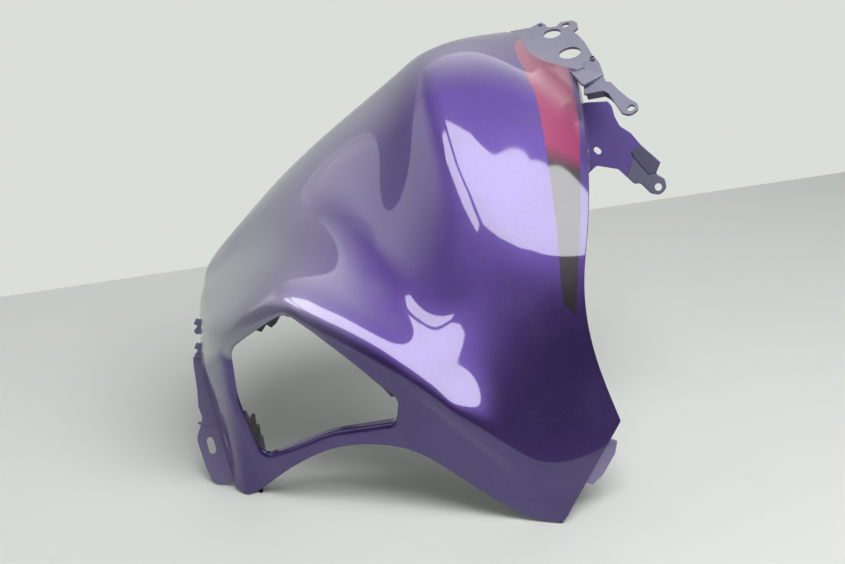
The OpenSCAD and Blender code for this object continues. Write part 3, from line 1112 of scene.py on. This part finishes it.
@dataclass
class HiddenWalls:
    """Walls behind the skin: right return, heel, pillar wall, edge tab and the bits at the opening."""

    form: SkinForm
    wall: float = 3.0
    heel_depth: float = 165.0
    pillar_depth: float = 68.0
    return_depth: float = 34.0
    return_span: Point2 = (174, 302)
    tab_span: Point2 = (0.36, 0.80)
    # Place upward, share of the depth and drop in millimetres; the first row is the foot.
    heel_shape: Curve = ((-11, 1, 0), (0, 0.99, -2), (11, 0.93, -8), (22, 0.78, -12), (33, 0.56, -16),
                         (44, 0.3, -20))
    # Place upward and share of the depth of each notch's corners.
    pillar_shape: tuple[Point2, ...] = ((-1, 0.45), (-0.90, 0.6), (-0.89, 0.9), (-0.79, 0.94),
                                        (-0.78, 0.8), (-0.69, 0.86), (-0.68, 0.66), (-0.58, 0.72),
                                        (-0.57, 0.44), (-0.45, 0.25))
    pillar_across: float = 46
    lip: float = 9.0
    notched_tab: Outline = ((8, 176), (24, 189), (38, 196), (43, 191), (39, 183), (34, 178), (30, 181),
                            (25, 173), (19, 175), (15, 170))
    rib: Outline = ((62, 194), (131, 131), (141, 119), (134, 117), (127, 126), (66, 183))

    def return_wall(self) -> bpy.types.Object:
        """Makes the return wall behind the upper right edge.

        Returns:
            The new piece.
        """
        v = np.linspace(*self.return_span, 65)
        start = self.form.edge(v) + [-self.wall, 0.5, 0] + PART_SHIFT
        grown = soft(0.45 + (v - self.return_span[0] - 4) / 30)
        reach = np.array([0.22, 0.93, -0.2]) * (self.return_depth * grown)[:, None]
        return Strip(start, reach, (self.wall - 0.4, 0, 0)).build("right_return")

    def edge_tab(self) -> bpy.types.Object:
        """Makes the small tab past the lower right edge.

        Returns:
            The new piece.
        """
        v = self.form.corner_up * np.linspace(*self.tab_span, 23)
        share = np.clip(np.minimum(v - v[0], v[-1] - v) / 4.8, 0, 1) * 0.25 + 0.75
        start = self.form.edge(v) + [-4, 3.2, 0] + PART_SHIFT
        return Strip(start, np.array([15, 6, -8]) * share[:, None], (0, 2.6, 0.6)).build("edge_tab")

    def heel(self) -> bpy.types.Object:
        """Makes the wall behind the lower right edge, with its foot on the ground.

        Returns:
            The new piece.
        """
        place, share, drop = np.array(self.heel_shape, float).T
        v = np.linspace(0, self.form.corner_up, 45)
        start = self.form.edge(np.r_[0, v]) + [-0.8 * self.wall, 0.6 * self.wall, 0.5] + PART_SHIFT
        start[0, 2] = 0
        at = np.r_[place[0], v]
        reach = np.array([-0.1, 1, 0]) * (self.heel_depth * np.interp(at, place, share))[:, None]
        reach[:, 2] = np.interp(at, place, drop)
        return Strip(start, reach, (-self.wall, 0, 0)).build("heel")

    def pillar_wall(self) -> bpy.types.Object:
        """Makes the notched wall behind the left pillar, with its foot on the ground.

        Returns:
            The new piece.
        """
        v, share = np.array(self.pillar_shape, float).T
        start = self.form.sharp(np.full(len(v), self.pillar_across), v) + [5.5, 2, 0] + PART_SHIFT
        start[0, 2] = 0
        reach = np.stack([np.full(len(v), -2.0), self.pillar_depth * share, np.full(len(v), -4.0)], -1)
        reach[0, 2] = 0
        return Strip(start, reach, (self.wall, 0, 0)).build("pillar_wall")

    def opening_bits(self, plane: Plane) -> list[bpy.types.Object]:
        """Makes the notched tab and the rib seen inside the opening.

        Args:
            plane: the opening's plane.

        Returns:
            The new pieces.
        """
        tab = Plate(plane, self.notched_tab, -self.lip - 9, -self.lip + 3, corner=0.6, soft_edge=0.4)
        rib = Plate(plane, self.rib, -self.lip, -self.lip + 4, corner=1.0, soft_edge=0.4)
        return [tab.build("opening_tab"), rib.build("opening_rib")]


# Finishes


class Field:
    """A shader value with arithmetic: each operator adds one Math node."""

    def __init__(self, graph: "Graph", socket: bpy.types.NodeSocket) -> None:
        """Wraps an output socket of a graph."""
        self.graph = graph
        self.socket = socket

    def math(self, operation: str, *others: "Field | float") -> "Field":
        """Applies a Math operation to this value and others."""
        return self.graph.math(operation, self, *others)

    def __add__(self, other: "Field | float") -> "Field":
        """Adds."""
        return self.math("ADD", other)

    __radd__ = __add__

    def __sub__(self, other: "Field | float") -> "Field":
        """Subtracts."""
        return self.math("SUBTRACT", other)

    def __rsub__(self, other: float) -> "Field":
        """Subtracts this value from a number."""
        return self.graph.math("SUBTRACT", other, self)

    def __mul__(self, other: "Field | float") -> "Field":
        """Multiplies."""
        return self.math("MULTIPLY", other)

    __rmul__ = __mul__

    def __truediv__(self, other: "Field | float") -> "Field":
        """Divides."""
        return self.math("DIVIDE", other)

    def above(self, low: float, high: float) -> "Field":
        """Rises smoothly from 0 at low to 1 at high."""
        ramp = self.graph.node("ShaderNodeMapRange", {"interpolation_type": "SMOOTHSTEP"},
                               {"Value": self, "From Min": low, "From Max": high})
        return Field(self.graph, ramp.outputs["Result"])


class Graph:
    """The nodes of a material or of the world, added one at a time."""

    def __init__(self, owner: bpy.types.Material | bpy.types.World) -> None:
        """Starts with no nodes.

        Args:
            owner: the material or world that they belong to.
        """
        owner.use_nodes = True
        self.owner = owner
        self.tree = owner.node_tree
        self.tree.nodes.clear()

    def node(self, kind: str, settings: dict | None = None, values: dict | None = None) -> bpy.types.Node:
        """Adds a node.

        Args:
            kind: the node's type name.
            settings: its own settings, and "stops" for a ramp.
            values: what goes on its sockets, numbers or fields, by name or number.

        Returns:
            The new node.
        """
        made = self.tree.nodes.new(kind)
        for key, value in (settings or {}).items():
            if key == "stops":
                self.stops(made.color_ramp, value)
            else:
                setattr(made, key, value)
        for key, value in (values or {}).items():
            socket = made.inputs[key]
            value = value.socket if isinstance(value, Field) else value
            if isinstance(value, bpy.types.NodeSocket):
                self.tree.links.new(value, socket)
            elif isinstance(value, tuple) and len(value) == 3 and socket.type == "RGBA":
                socket.default_value = (*value, 1.0)
            else:
                socket.default_value = value
        return made

    @staticmethod
    def stops(ramp: bpy.types.ColorRamp, stops: Sequence[tuple[float, Colour | float]]) -> None:
        """Sets a ramp's stops.

        Args:
            ramp: the ramp.
            stops: each a place and a colour or a grey.
        """
        while len(ramp.elements) < len(stops):
            ramp.elements.new(1.0)
        for element, (place, colour) in zip(ramp.elements, stops):
            element.position = place
            rgb = colour if isinstance(colour, tuple) else (colour,) * 3
            element.color = (*rgb, 1.0)

    def math(self, operation: str, *values: "Field | float") -> Field:
        """Adds a Math node."""
        made = self.node("ShaderNodeMath", {"operation": operation}, dict(enumerate(values)))
        return Field(self, made.outputs[0])

    def mix(self, factor: "Field | float", a: "Field | Colour", b: "Field | Colour") -> Field:
        """Mixes two colours."""
        made = self.node("ShaderNodeMix", {"data_type": "RGBA"}, {"Factor": factor, 6: a, 7: b})
        return Field(self, made.outputs[2])

    def noise(self, scale: float, detail: float = 2.0, rough: float = 0.5) -> Field:
        """Noise over the object, in features per metre."""
        made = self.node("ShaderNodeTexNoise", {}, {"Vector": self.place(), "Scale": scale,
                                                    "Detail": detail, "Roughness": rough})
        return Field(self, made.outputs["Fac"])

    def place(self) -> Field:
        """Place in the object's own metres."""
        return Field(self, self.node("ShaderNodeTexCoord").outputs["Object"])

    def split(self, vector: Field) -> tuple[Field, Field, Field]:
        """The three parts of a vector."""
        made = self.node("ShaderNodeSeparateXYZ", {}, {"Vector": vector})
        return tuple(Field(self, made.outputs[k]) for k in range(3))

    def skin_place(self) -> tuple[Field, Field]:
        """Places across and upward on the skin, in the form's own steps."""
        skin = self.node("ShaderNodeAttribute", {"attribute_name": "skin_place"}).outputs["Vector"]
        u, v, _ = self.split(Field(self, skin))
        return u, v

    def surface(self, shader: bpy.types.NodeSocket,
                end: str = "ShaderNodeOutputMaterial") -> bpy.types.Material | bpy.types.World:
        """Ends the graph with a shader and returns what it belongs to."""
        self.node(end, {}, {"Surface": shader})
        return self.owner


@dataclass(frozen=True)
class FlakePaint:
    """Purple flake paint under clear coat."""

    name: str
    base: Colour
    light: Colour
    metal: float
    coat: float
    rough: float = 0.50
    dust: Colour = (0.42, 0.42, 0.45)
    flakes: float = 1500.0

    def over(self, g: Graph, base: Field) -> tuple[Field, Field | float]:
        """Colour and metal share once anything over the flakes is added: here nothing."""
        return base, self.metal

    def scratches(self, g: Graph) -> Field:
        """Fine scratches that run down the piece, from long thin cells of noise.

        Args:
            g: the material under way.

        Returns:
            1 on a scratch and 0 beside it.
        """
        where = g.node("ShaderNodeMapping", {}, {"Vector": g.place(), "Rotation": (0.3, 0.5, 0.2),
                                                 "Scale": (900.0, 900.0, 22.0)})
        made = g.node("ShaderNodeTexNoise", {}, {"Vector": where.outputs["Vector"], "Scale": 1.0,
                                                 "Detail": 3.0})
        return Field(g, made.outputs["Fac"]).above(0.67, 0.70)

    def build(self) -> bpy.types.Material:
        """Makes the paint.

        Returns:
            The material.
        """
        g = Graph(bpy.data.materials.new(self.name))
        cells = g.node("ShaderNodeTexVoronoi", {}, {"Vector": g.place(), "Scale": self.flakes})
        pick, _, _ = g.split(Field(g, cells.outputs["Color"]))
        cloud = g.noise(9.0, 3.0).above(0.35, 0.7)
        base, metal = self.over(g, g.mix(cloud * 0.35 + pick * 0.4, self.base, self.light))
        haze = g.noise(26.0, 6.0, 0.65).above(0.45, 0.85)
        specks = g.noise(420.0).above(0.735, 0.76)
        base = g.mix(haze * 0.05 + specks * 0.35, base, self.dust)
        rough = self.rough + 0.10 * haze + 0.25 * specks + 0.12 * self.scratches(g)
        bump = g.node("ShaderNodeBump", {}, {"Strength": 0.10, "Distance": 0.0004,
                                             "Height": pick + 0.6 * g.noise(700.0)})
        shader = g.node("ShaderNodeBsdfPrincipled", {}, {
            "Base Color": base, "Metallic": metal, "Roughness": rough, "Normal": bump.outputs["Normal"],
            "Coat Weight": self.coat - 0.5 * specks - 0.12 * haze, "Coat Roughness": 0.045,
            "Coat IOR": 1.55, "Specular IOR Level": 0.5})
        return g.surface(shader.outputs["BSDF"])


@dataclass(frozen=True)
class SkinPaint(FlakePaint):
    """The skin's paint, with a printed stripe beside the right edge and a pale veil over it that is partly
    real haze and partly a painted reflection of the pale wall.
    """

    name: str = "flake_paint"
    base: Colour = (0.068, 0.038, 0.180)
    light: Colour = (0.105, 0.064, 0.255)
    metal: float = 0.88
    coat: float = 1.0
    stripe_top: Colour = (0.25, 0.012, 0.085)
    stripe_foot: Colour = (0.012, 0.008, 0.014)
    stripe_fade: Point2 = (166.0, 184.0)
    stripe_from: float = 300.0
    stripe_wide: float = 100.0
    # Share of the height and share of the width, from the foot to the top.
    stripe_left: tuple[Point2, ...] = (
        (0.245, 0.93), (0.277, 0.645), (0.32, 0.61), (0.379, 0.56), (0.440, 0.508), (0.514, 0.464),
        (0.571, 0.442), (0.644, 0.423), (0.762, 0.419), (0.882, 0.374), (0.964, 0.204))
    stripe_right: tuple[Point2, ...] = (
        (0.245, 0.75), (0.324, 0.788), (0.401, 0.769), (0.485, 0.755), (0.591, 0.760), (0.719, 0.791),
        (0.838, 0.804), (0.953, 0.797))
    # Pale grey laid over the paint: partly real haze, partly a painted reflection of the pale wall.
    haze_and_reflection_colour: Colour = (0.46, 0.47, 0.45)

    def over(self, g: Graph, base: Field) -> tuple[Field, Field | float]:
        """Adds the stripe and the pale veil, which is partly haze and partly a painted reflection.

        Args:
            g: the material under way.
            base: the flakes' colour.

        Returns:
            The colour and the metal share.
        """
        u, v = g.skin_place()
        mask = self.stripe(g, u, v)
        base = g.mix(mask, base, g.mix(v.above(*self.stripe_fade), self.stripe_foot, self.stripe_top))
        metal = self.metal - mask * (self.metal - 0.1)
        # Painted reflection of the pale wall, with some real haze, on the left limb and the back edge; the
        # metal share drops under it.
        haze_and_reflection = self.haze_and_reflection(g, u, v)
        return g.mix(haze_and_reflection, base, self.haze_and_reflection_colour), metal * (1 - haze_and_reflection)

    def stripe(self, g: Graph, u: Field, v: Field) -> Field:
        """Where the stripe is.

        Args:
            g: the material under way.
            u: place across.
            v: place upward.

        Returns:
            1 on the stripe and 0 beside it.
        """
        soft_side = 0.35
        start, stop = (
            self.stripe_from + self.stripe_wide * Field(g, g.node(
                "ShaderNodeValToRGB", {"stops": stops}, {"Fac": v / float(SKIN_TALL)}).outputs["Color"])
            for stops in (self.stripe_left, self.stripe_right))
        past_start = (u - start).above(-soft_side, soft_side)
        past_stop = (u - stop).above(-soft_side, soft_side)
        return past_start * (1 - past_stop) * v.above(74.0, 75.5)

    def haze_and_reflection(self, g: Graph, u: Field, v: Field) -> Field:
        """How much pale veil lies on the paint, towards the left limb and along the back edge: partly real
        haze, partly a painted reflection of the pale wall at grazing angles.

        Args:
            g: the material under way.
            u: place across.
            v: place upward.

        Returns:
            The veil's share.
        """
        across = u - 0.3 * (v - 120.0).math("MAXIMUM", 0.0)
        limb = 0.45 * (1 - across.above(60.0, 205.0)) + 0.2 * (1 - u.above(25.0, 85.0))
        limb = limb * v.above(-0.3, 8.0)
        back = 0.36 * v.above(205.0, 255.0) * (1 - 0.6 * u.above(280.0, 335.0))
        cloud = 0.85 + 0.3 * g.noise(9.0, 3.0)
        return (limb + back - limb * back) * cloud


class Paint(Enum):
    """The paints of the mouldings round the skin: copies of one purple flake paint, some made paler or
    darker to paint in reflection and shade.
    """

    FLANGE = FlakePaint("flange_paint", (0.16, 0.13, 0.27), (0.24, 0.21, 0.38), 0.35, 0.6)
    # Paler grey copy of the paint: real dust, with a painted reflection of the pale wall on the top flange
    # and the upper arm's top face.
    GREY_SHEEN_AND_DUST = FlakePaint("grey_sheen_and_dust_paint", (0.185, 0.175, 0.25), (0.26, 0.25, 0.34), 0.3, 0.6)
    ARM = FlakePaint("arm_paint", (0.13, 0.085, 0.33), (0.19, 0.13, 0.43), 0.45, 0.7)
    # Darker copy of the paint: painted shade on the turned down side of the upper arm and on the lower arm's
    # block.
    SHADED_FOLD = FlakePaint("shaded_fold_paint", (0.075, 0.07, 0.125), (0.10, 0.09, 0.16), 0.2, 0.4, 0.6)
    END = FlakePaint("end_paint", (0.13, 0.125, 0.19), (0.17, 0.16, 0.24), 0.3, 0.5)


@dataclass(frozen=True)
class RawPlastic:
    """Unpainted black plastic with a faint purple overspray and some dust."""

    name: str = "raw_plastic"
    base: Colour = (0.022, 0.021, 0.024)
    spray: Colour = (0.075, 0.045, 0.16)
    dust: Colour = (0.23, 0.23, 0.22)
    rough: float = 0.55

    def build(self) -> bpy.types.Material:
        """Makes the plastic.

        Returns:
            The material.
        """
        g = Graph(bpy.data.materials.new(self.name))
        mist = g.noise(14.0, 5.0, 0.6).above(0.42, 0.72)
        dust = g.noise(60.0, 6.0, 0.7).above(0.55, 0.8)
        colour = g.mix(dust * 0.18, g.mix(mist * 0.55, self.base, self.spray), self.dust)
        bump = g.node("ShaderNodeBump", {}, {"Strength": 0.25, "Distance": 0.0003,
                                             "Height": g.noise(1600.0)})
        shader = g.node("ShaderNodeBsdfPrincipled", {}, {
            "Base Color": colour, "Roughness": self.rough + 0.2 * dust - 0.1 * mist,
            "Normal": bump.outputs["Normal"]})
        return g.surface(shader.outputs["BSDF"])


@dataclass(frozen=True)
class PaleMatt:
    """Matt finish of the table and the wall, faintly clouded and marked."""

    name: str
    colour: Colour
    grime: Colour = (0.36, 0.36, 0.34)
    glow: Colour | None = None

    def build(self) -> bpy.types.Material:
        """Makes the finish.

        Returns:
            The material; with a glow it looks evenly pale, and is clear from behind.
        """
        g = Graph(bpy.data.materials.new(self.name))
        cloud = g.noise(2.2, 3.0).above(0.3, 0.7)
        marks = g.noise(9.0, 5.0, 0.6).above(0.62, 0.80)
        shade = g.mix(cloud * 0.35, self.colour, tuple(c * 0.96 for c in self.colour))
        shader = g.node("ShaderNodeBsdfPrincipled", {}, {
            "Base Color": g.mix(marks * 0.10, shade, self.grime), "Roughness": 0.55,
            "Specular IOR Level": 0.25})
        matt = shader.outputs["BSDF"]
        return g.surface(matt if self.glow is None else self.backdrop(g, matt, marks))

    def backdrop(self, g: Graph, matt: bpy.types.NodeSocket, marks: Field) -> bpy.types.NodeSocket:
        """Gives the finish its even look.

        Args:
            g: the material under way.
            matt: the matt shader, which still takes the room's light.
            marks: where it is marked.

        Returns:
            The shader's output.
        """
        path = g.node("ShaderNodeLightPath")
        camera, glossy, through = (Field(g, path.outputs[f"Is {ray} Ray"])
                                   for ray in ("Camera", "Glossy", "Transmission"))
        seen = camera.math("MAXIMUM", glossy).math("MAXIMUM", through)
        glow = g.node("ShaderNodeEmission", {}, {"Color": g.mix(marks * 0.05, self.glow, (0.5, 0.5, 0.48))})
        face = g.node("ShaderNodeMixShader", {}, {0: seen, 1: matt, 2: glow.outputs["Emission"]})
        behind = g.node("ShaderNodeNewGeometry").outputs["Backfacing"]
        clear = g.node("ShaderNodeBsdfTransparent").outputs["BSDF"]
        both = g.node("ShaderNodeMixShader", {}, {0: behind, 1: face.outputs["Shader"], 2: clear})
        return both.outputs["Shader"]


# Studio


class Job(Enum):
    """What a light panel does."""

    SHINE = "is seen in shiny surfaces"
    FILL = "lights matt surfaces"


def stage_sheet(name: str, points: Sequence[Point3], finish: bpy.types.Material) -> bpy.types.Object:
    """Makes one flat sheet of the surroundings.

    Args:
        name: the sheet's name.
        points: its corners in millimetres.
        finish: its material.

    Returns:
        The new object, which isn't part of the piece.
    """
    mesh = bpy.data.meshes.new(name)
    mesh.from_pydata([tuple(c * MM for c in p) for p in points], [], [tuple(range(len(points)))])
    mesh.materials.append(finish)
    made = bpy.data.objects.new(name, mesh)
    bpy.context.scene.collection.objects.link(made)
    return made


@dataclass(frozen=True)
class LightPanel:
    """A level light over the table, unseen by the camera.

    Its outline runs clockwise as seen from below, and soft_edge says how much of its half
    size fades out along its two axes.
    """

    name: str
    height: float
    outline: tuple[Point2, ...]
    strength: float
    soft_edge: Point2 = (0.0, 0.0)
    job: Job = Job.SHINE

    def light(self) -> bpy.types.Material:
        """Makes the panel's own light.

        Returns:
            The material.
        """
        g = Graph(bpy.data.materials.new(self.name))
        shade = (1.0, 1.0, 1.0)
        if max(self.soft_edge) > 0:
            fades = [(1 - part.math("ABSOLUTE")).above(0.0, edge)
                     for part, edge in zip(g.split(g.place()), self.soft_edge)]
            shade = g.mix(fades[0] * fades[1], (0.0, 0.0, 0.0), shade)
        light = g.node("ShaderNodeEmission", {}, {"Color": shade, "Strength": self.strength})
        return g.surface(light.outputs["Emission"])

    def build(self) -> None:
        """Hangs the panel, with its own axes running from -1 to 1 for the fading."""
        points = np.array([(x, y, self.height) for x, y in self.outline], float)
        middle = points.mean(axis=0)
        half = np.abs(points - middle).max(axis=0)
        half[2] = 1.0
        made = stage_sheet(self.name, [tuple(p) for p in (points - middle) / half / MM], self.light())
        made.location = Vector(middle) * MM
        made.scale = half * MM
        made.visible_camera = False
        made.visible_shadow = False
        made.visible_glossy = self.job is Job.SHINE
        made.visible_diffuse = self.job is Job.FILL


@dataclass
class Studio:
    """Pale table and wall, light panels, a dim room and the camera."""

    floor: PaleMatt = PaleMatt("table_white", (0.585, 0.602, 0.58))
    wall: PaleMatt = PaleMatt("wall_white", (0.755, 0.78, 0.75), glow=(0.705, 0.735, 0.69))
    table: tuple[Point2, ...] = ((-1700, -640), (395, -640), (415, -440), (782, 1110), (-1700, -90))
    wall_foot: tuple[Point2, Point2] = ((-1700, -136), (1700, 1520))
    wall_height: float = 1700
    panels: tuple[LightPanel, ...] = (
        LightPanel("main_panel", 1500, (
            (-20, -139), (342, -68), (446, -98), (560, -156), (800, -152), (1250, 0), (1250, -520),
            (986, -643), (509, -857), (326, -866), (170, -790), (100, -545), (-8, -375), (-28, -220)), 8.4),
        LightPanel("side_strip", 1500, (
            (-84, -200), (-62, -375), (45, -545), (115, -801), (60, -900), (-107, -658), (-285, -382),
            (-217, -250)), 8.4),
        LightPanel("back_sky", 1900, ((-3600, 0), (2600, 0), (2600, 4000), (-3600, 4000)), 4.1, (0.4, 0.75)),
        LightPanel("left_sky", 1900, ((-4800, -1500), (-420, -1500), (-420, 2500), (-4800, 2500)), 2.4,
                   (0.3, 0.7)),
        LightPanel("front_fill", 2200, ((-550, -1900), (2300, -1900), (2300, -550), (-550, -550)), 8.4,
                   job=Job.FILL))
    room: Colour = (0.05, 0.05, 0.055)
    air: Colour = (0.15, 0.153, 0.151)
    camera_at: Point3 = (-8.7, -1039.4, 550.5)
    pitch: float = 20.0
    focal_px: float = 1173.0
    picture_px: float = 845.0
    sensor_mm: float = 36.0

    def build(self) -> None:
        """Makes the table, the wall, the light panels, the room and the camera."""
        stage_sheet("table", [(x, y, 0) for x, y in self.table], self.floor.build())
        (x0, y0), (x1, y1) = self.wall_foot
        high = self.wall_height
        stage_sheet("back_wall", [(x0, y0, 0), (x1, y1, 0), (x1, y1, high), (x0, y0, high)],
                    self.wall.build())
        for panel in self.panels:
            panel.build()
        self.surroundings()
        self.camera()

    def surroundings(self) -> None:
        """Makes the world: soft light from all round, and a dim room in shiny surfaces."""
        g = Graph(bpy.data.worlds.new("room"))
        air, room = (g.node("ShaderNodeBackground", {}, {"Color": colour}).outputs["Background"]
                     for colour in (self.air, self.room))
        shiny = g.node("ShaderNodeLightPath").outputs["Is Glossy Ray"]
        both = g.node("ShaderNodeMixShader", {}, {0: shiny, 1: air, 2: room})
        bpy.context.scene.world = g.surface(both.outputs["Shader"], "ShaderNodeOutputWorld")

    def camera(self) -> None:
        """Makes the camera at the photograph's viewing angle."""
        data = bpy.data.cameras.new("camera")
        data.sensor_width = self.sensor_mm
        data.lens = self.focal_px / self.picture_px * self.sensor_mm
        data.clip_end = 50
        made = bpy.data.objects.new("camera", data)
        made.location = Vector(self.camera_at) * MM
        made.rotation_euler = (math.radians(90 - self.pitch), 0, 0)
        bpy.context.scene.collection.objects.link(made)
        bpy.context.scene.camera = made


# The whole part


@dataclass
class Fairing:
    """The panel: skin, flanges, arms and hidden walls, each with its finish."""

    form: SkinForm = field(default_factory=SkinForm)
    opening: Opening = field(default_factory=Opening)

    def dress(self, pieces: Sequence[bpy.types.Object], *finishes: bpy.types.Material) -> None:
        """Gives pieces their finishes and ties them to the part.

        Args:
            pieces: the mesh objects.
            finishes: their materials, in the order that the faces number them.
        """
        for piece in pieces:
            for finish in finishes:
                piece.data.materials.append(finish)
            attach(piece, ROOT_BODY)
            LOG.info("%s: %d faces", piece.name, len(piece.data.polygons))

    def build(self) -> None:
        """Makes every piece."""
        raw = RawPlastic().build()
        paints = {paint: paint.value.build() for paint in Paint}
        skin = SkinShell(SkinGrid(self.form), self.opening).build("painted_skin")
        self.dress([skin], SkinPaint().build(), raw)
        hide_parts(PANEL_NODE)
        self.dress(LeftFlange(self.form).build(), paints[Paint.FLANGE])
        # The top flange takes the paler copy, which paints in the wall's reflection over its dust.
        self.dress(TopFlange(self.form).build(), paints[Paint.GREY_SHEEN_AND_DUST])
        upper_arm, skirt = UpperArm(self.form).build()
        lower_arm, block, end = LowerArm(self.form).build()
        # The upper arm's top takes the paler copy: dust with a painted reflection of the wall.
        self.dress([upper_arm], paints[Paint.GREY_SHEEN_AND_DUST])
        self.dress([lower_arm], paints[Paint.ARM])
        # The turned down side and the block take the darker copy, which paints in their shade.
        self.dress([skirt, block], paints[Paint.SHADED_FOLD])
        self.dress([end], paints[Paint.END])
        walls = HiddenWalls(self.form)
        self.dress([walls.return_wall(), walls.edge_tab()], paints[Paint.FLANGE])
        self.dress([walls.heel(), walls.pillar_wall()], raw)
        self.dress(walls.opening_bits(self.opening.plane(self.form)), raw)


def main() -> None:
    """Builds the part and its studio."""
    logging.basicConfig(level=logging.INFO, format="%(name)s: %(message)s")
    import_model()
    Fairing().build()
    Studio().build()
    bpy.context.scene.view_settings.view_transform = "Standard"


if __name__ == "__main__":
    main()
